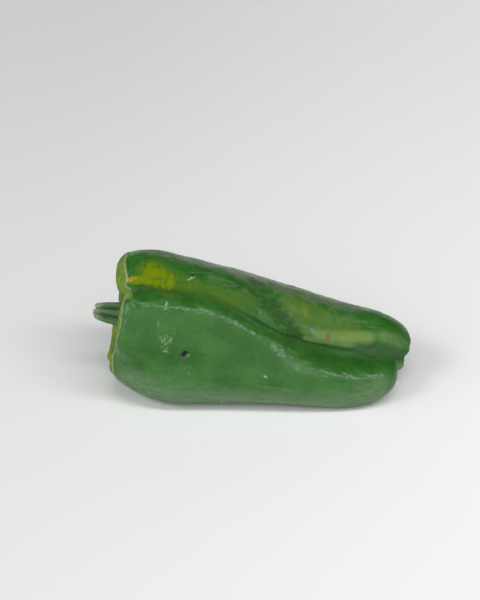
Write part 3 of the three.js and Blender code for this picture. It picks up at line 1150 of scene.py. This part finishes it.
@dataclass
class Stem:
    """The stem: a capped calyx that lines the hollow and a ribbed stalk with a torn end.

    A ring of the stalk is how far out it stands, its radius and how ribbed it is. One of the calyx
    is its share of the reach and its lift. Names with rings are places counted along all rings.
    """

    form: PepperForm
    finish: StemFinish = StemFinish()
    calyx_reach: float = 0.4
    calyx_gap: float = 0.25
    teeth: int = 6
    tooth: float = 0.13
    tooth_widths: Pair = (0.5, 0.95)
    path: tuple[Triple, ...] = ((-61.5, -0.9, 36.4), (-71.0, -0.6, 36.2), (-82.5, 1.4, 36.7))
    stalk: tuple[Triple, ...] = (
        (0.965, 0.0, 0.0), (0.975, 1.98, 0.5), (1.0, 3.168, 1.0), (0.965, 3.744, 1.0),
        (0.86, 4.24, 1.0), (0.72, 4.8, 1.0), (0.56, 5.2, 1.0), (0.42, 5.75, 0.9), (0.3, 7.4, 0.7),
    )
    calyx: tuple[Pair, ...] = (
        (0.72, 2.108), (0.86, 1.53), (0.97, 1.3), (1.0, 0.65),
        (0.97, 0.0), (0.7, 0.0), (0.4, 0.0), (0.0, 0.0),
    )
    ribs: int = 6
    rib: float = 0.2
    groove_sharpness: float = 1.6
    ridge_sharpness: float = 0.8
    twist: float = 0.5
    turns: int = 168
    steps: int = 7
    stalk_rings: Pair = (8.5, 7.0)
    torn_rings: Pair = (4.8, 3.0)
    edge_rings: Pair = (2.2, 1.2)
    edge_waves: tuple[int, ...] = (3, 5, 8, 13)
    fibres: int = 22
    fibre_spread: float = 3.6
    fibre_foot: float = 0.9
    fibre_lengths: Pair = (1.2, 2.4)
    fibre_lean: float = 0.16
    fibre_radii: Pair = (0.32, 0.08)
    fibre_sides: int = 6

    def stalk_frame(self, out: float) -> tuple[Array, Array, Array, Array]:
        """A place on the stalk's middle line and the directions there.

        Args:
            out: How far out it is, from 0 at the foot to 1 at the end.

        Returns:
            The place, the stalk's heading, and its section's upward and frontward directions.
        """
        start, bend, end = (np.array(point) for point in self.path)
        centre = lerp(lerp(start, bend, out), lerp(bend, end, out), out)
        heading = unit(lerp(bend - start, end - bend, out))
        upward = unit(np.array([0.0, 0.0, 1.0]) - heading[2] * heading)
        centre = centre - (*self.form.ground_middle, 0)
        return centre, heading, upward, -np.cross(upward, -heading)

    def rib_shape(self, turn: Array, out: float) -> Array:
        """Where the stalk's ribs are.

        Args:
            turn: Turns about the stalk.
            out: How far out the section is.

        Returns:
            Values from -1 in a groove to 1 on a ridge.
        """
        wave = np.cos(self.ribs * turn + self.twist * out + 0.5 * np.sin(2 * turn))
        sharpness = np.where(wave < 0, self.groove_sharpness, self.ridge_sharpness)
        return np.sign(wave) * np.abs(wave) ** sharpness

    def stalk_ring(self, turn: Array, out: float, radius: float, ribbed: float) -> Array:
        """A ring of the stalk, whose ribs turn a little on their way out.

        Args:
            turn: The turns of the ring's points.
            out: How far out it is.
            radius: Its radius in millimetres.
            ribbed: How strong its ribs are, up to 1.

        Returns:
            The ring's points in millimetres.
        """
        centre, _, upward, frontward = self.stalk_frame(out)
        reach = radius * (1 + ribbed * self.rib * self.rib_shape(turn, out))
        return centre + np.outer(reach * np.cos(turn), upward) + np.outer(reach * np.sin(turn), frontward)

    def calyx_ring(self, turn: Array, width: float, lift: float) -> Array:
        """A ring of the calyx, over the hollow's floor.

        Args:
            turn: The turns of the ring's points.
            width: Its share of the calyx's reach.
            lift: How far it is lifted off towards the stalk, in millimetres.

        Returns:
            The ring's points in millimetres.
        """
        wave = np.cos(self.teeth * turn)
        pointed = 1 + self.tooth * (wave + 0.25 * np.cos(2 * self.teeth * turn))
        reach = self.calyx_reach * width * lerp(1.0, pointed, smoothstep(width, *self.tooth_widths))
        crests = self.form.end_shape(turn, self.form.end_shares[0], "shoulder")["crest"]
        alongs = np.array([
            self.form.meridian_place(Zone.HOLLOW, float(step), turn[k:k + 1])[0][0]
            for k, step in enumerate(reach / crests)
        ])
        return self.form.skin_point(turn, alongs - self.calyx_gap - lift, reach)

    def build(self) -> Piece:
        """Makes the stem, with its fibres and the fields that its finish reads.

        Returns:
            The stem, not yet dressed.
        """
        turns = even_turns(self.turns)
        rings = [self.stalk_ring(turns, *ring) for ring in self.stalk]
        rings += [self.calyx_ring(turns, *ring) for ring in self.calyx]
        last = len(rings) - 1
        ring, turn = np.meshgrid(np.linspace(0, last, last * self.steps + 1), turns, indexing="ij")
        points = spline(np.array(rings), ring[:, 0] / last)
        draw = np.random.default_rng(21)
        ragged = np.zeros(turn.shape)
        for wave in self.edge_waves:
            height = draw.uniform(0.15, 0.4)
            ragged += height * np.sin(wave * turn + draw.uniform(0, FULL_TURN))
        _, heading, _, _ = self.stalk_frame(1.0)
        place, spread = self.edge_rings
        points += heading * (ragged * bell(ring - place, spread))[..., None]
        piece = lathe_body("stem_rind", points)
        set_field(piece, "rib", self.rib_shape(turn, 0.5) * smoothstep(ring, *self.stalk_rings))
        set_field(piece, "torn", smoothstep(ring, *self.torn_rings))
        self.add_fibres(piece)
        return piece

    def add_fibres(self, piece: Piece) -> None:
        """Adds torn fibres to the end of the stalk, as thin leaning spikes in the same mesh.

        Args:
            piece: The stem, with its torn attribute.
        """
        draw = np.random.default_rng(8)
        centre, heading, upward, frontward = self.stalk_frame(0.985)
        body = bmesh.new()
        body.from_mesh(piece.data)
        torn = body.verts.layers.float["torn"]
        for _ in range(self.fibres):
            turn = draw.uniform(0, FULL_TURN)
            out = self.fibre_spread * math.sqrt(draw.uniform(0.05, 0.85))
            length = draw.uniform(*self.fibre_lengths)
            lean = draw.normal(0, self.fibre_lean, 2)
            foot = centre + (upward * math.cos(turn) + frontward * math.sin(turn)) * out
            foot = foot - heading * self.fibre_foot
            aim = Vector(unit(heading + upward * lean[0] + frontward * lean[1]))
            turned = aim.to_track_quat("Z", "Y").to_matrix().to_4x4()
            place = Matrix.Translation(Vector(foot + np.array(aim) * length / 2) * MM)
            thick, thin = self.fibre_radii
            made = bmesh.ops.create_cone(
                body, cap_ends=True, cap_tris=False, segments=self.fibre_sides, radius1=thick * MM,
                radius2=thin * MM, depth=length * MM, matrix=place @ turned,
            )
            for vertex in made["verts"]:
                vertex[torn] = 1.0
        body.to_mesh(piece.data)
        body.free()

    def dress(self, piece: Piece) -> None:
        """Gives the stem its finish and its place in the frame.

        Args:
            piece: The stem that build made.
        """
        piece.data.materials.append(self.finish.material())
        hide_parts("stem")
        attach(piece, "root")


@dataclass(frozen=True)
class SoftLight:
    """A soft light that faces the pepper, with one pair of its sides level along it.

    heading points from the pepper to the light, size is its length and its width, and radiance
    is how bright its face is.
    """

    name: str
    heading: Triple
    distance: float
    size: Pair
    radiance: float

    def add(self, middle: Vector) -> None:
        """Puts the light up.

        Args:
            middle: The point that it is aimed at, in metres.
        """
        data = bpy.data.lights.new(self.name, "AREA")
        data.shape = "RECTANGLE"
        data.size, data.size_y = self.size
        data.energy = self.radiance * math.pi * self.size[0] * self.size[1]
        lamp = add_object(self.name, data)
        away = Vector(self.heading).normalized()
        along = (Vector((1, 0, 0)) - away.x * away).normalized()
        lamp.location = middle + away * self.distance
        lamp.rotation_euler = Matrix((along, away.cross(along), away)).transposed().to_euler()


@dataclass
class Studio:
    """A pale floor that sweeps up into a low backdrop, soft lights and the camera."""

    middle: Triple = (0.0, 0.0, 0.03)
    floor_front: float = -2.5
    sweep_start: float = 0.75
    sweep_radius: float = 0.4
    sweep_steps: int = 24
    wall_top: float = 0.5
    half_width: float = 3.0
    paper: Colour = (0.84, 0.84, 0.84)
    # Painted shade: the paper darkened towards the left, as light falling off would darken it.
    painted_shade_leftwards: Wash = Wash((0.705, 0.715, 0.705), 0.22, -0.22)
    paper_roughness: float = 0.75
    left_room: Colour = (1.65, 1.65, 1.65)
    right_room: Wash = Wash((1.2, 1.2, 1.2), -0.5, 0.5)
    back_room: Wash = Wash((0.1, 0.1, 0.1), -0.25, 0.2)
    ceiling: Wash = Wash((0.05, 0.05, 0.05), 0.65, 0.85)
    lights: tuple[SoftLight, ...] = (
        SoftLight("strip_light", (0.33, -0.32, 0.9), 1.25, (1.34, 0.23), 9.4),
        SoftLight("key_light", (-0.58, -0.5, 0.64), 1.3, (0.45, 0.45), 7.0),
    )
    camera_elevation: float = 30.0
    camera_azimuth: float = 5.0
    camera_distance: float = 0.7
    metres_a_pixel: float = 0.0005
    looked_at: Triple = (0.003456, 0.002068, 0.0322)
    looked_at_pixel: Pair = (259.0, 327.0)
    image_size: tuple[int, int] = (480, 600)
    sensor: float = 36.0

    def add_sweep(self) -> None:
        """Adds the floor and the backdrop: one profile drawn out along X, whose paper has painted shade
        that darkens it towards the left.
        """
        body = bmesh.new()
        profile = [(self.floor_front, 0.0)]
        for angle in np.linspace(0, math.pi / 2, self.sweep_steps + 1):
            forward, up = math.sin(angle), 1 - math.cos(angle)
            profile.append((self.sweep_start + self.sweep_radius * forward, self.sweep_radius * up))
        profile.append((self.sweep_start + self.sweep_radius, self.wall_top))
        verts = [body.verts.new((-self.half_width, y, z)) for y, z in profile]
        edges = [body.edges.new(pair) for pair in zip(verts, verts[1:])]
        drawn = bmesh.ops.extrude_edge_only(body, edges=edges)
        moved = [part for part in drawn["geom"] if isinstance(part, bmesh.types.BMVert)]
        bmesh.ops.translate(body, verts=moved, vec=(2 * self.half_width, 0, 0))
        floor = smooth_piece("floor", body)
        material, bench = new_material("pale_paper")
        parts = bench.node("ShaderNodeSeparateXYZ", {0: bench.object_place()}).outputs
        # Painted shade: the paper darkens towards the left.
        colour = bench.washed(self.paper, (parts["X"], self.painted_shade_leftwards))
        bench.shade(Base_Color=colour, Roughness=self.paper_roughness)
        floor.data.materials.append(material)

    def add_room(self) -> None:
        """The light of the room: bright in front and most to the left, dim behind and overhead."""
        world = bpy.data.worlds.new("room")
        world.use_nodes = True
        bench = Bench(world.node_tree)
        heading = bench.node("ShaderNodeTexCoord", {}).outputs["Generated"]
        parts = bench.node("ShaderNodeSeparateXYZ", {0: heading}).outputs
        washes = zip(parts, (self.right_room, self.back_room, self.ceiling))
        colour = bench.washed(self.left_room, *washes)
        bench.feed(world.node_tree.nodes["Background"].inputs["Color"], colour)
        bpy.context.scene.world = world

    def add_camera(self) -> None:
        """The camera at the picture's height, distance and framing."""
        elevation = math.radians(self.camera_elevation)
        azimuth = math.radians(self.camera_azimuth)
        back = Vector((
            math.sin(azimuth) * math.cos(elevation),
            -math.cos(azimuth) * math.cos(elevation),
            math.sin(elevation),
        ))
        right = (-back).cross(Vector((0, 0, 1))).normalized()
        upward = right.cross(-back)
        width, height = self.image_size
        offset_right = (self.looked_at_pixel[0] - width / 2) * self.metres_a_pixel
        offset_down = (self.looked_at_pixel[1] - height / 2) * self.metres_a_pixel
        aim = Vector(self.looked_at) - right * offset_right + upward * offset_down
        data = bpy.data.cameras.new("camera")
        data.sensor_width = self.sensor
        data.lens = self.sensor * self.camera_distance / self.metres_a_pixel / max(width, height)
        camera = add_object("camera", data)
        camera.location = aim + back * self.camera_distance
        camera.rotation_euler = back.to_track_quat("Z", "Y").to_euler()
        bpy.context.scene.camera = camera

    def build(self) -> None:
        """Puts up the floor, the room, the lights and the camera."""
        self.add_camera()
        self.add_sweep()
        self.add_room()
        for light in self.lights:
            light.add(Vector(self.middle))
        bpy.context.scene.view_settings.view_transform = "Standard"


def main() -> None:
    """Builds the studio, the fruit and the stem in order."""
    logging.basicConfig(level=logging.INFO, format="%(name)s: %(message)s")
    Studio().build()
    form = PepperForm()
    for part in (Fruit(form), Stem(form)):
        piece = part.build()
        part.dress(piece)
        LOG.info("%s has %d vertices", piece.name, len(piece.data.vertices))


if __name__ == "__main__":
    main()
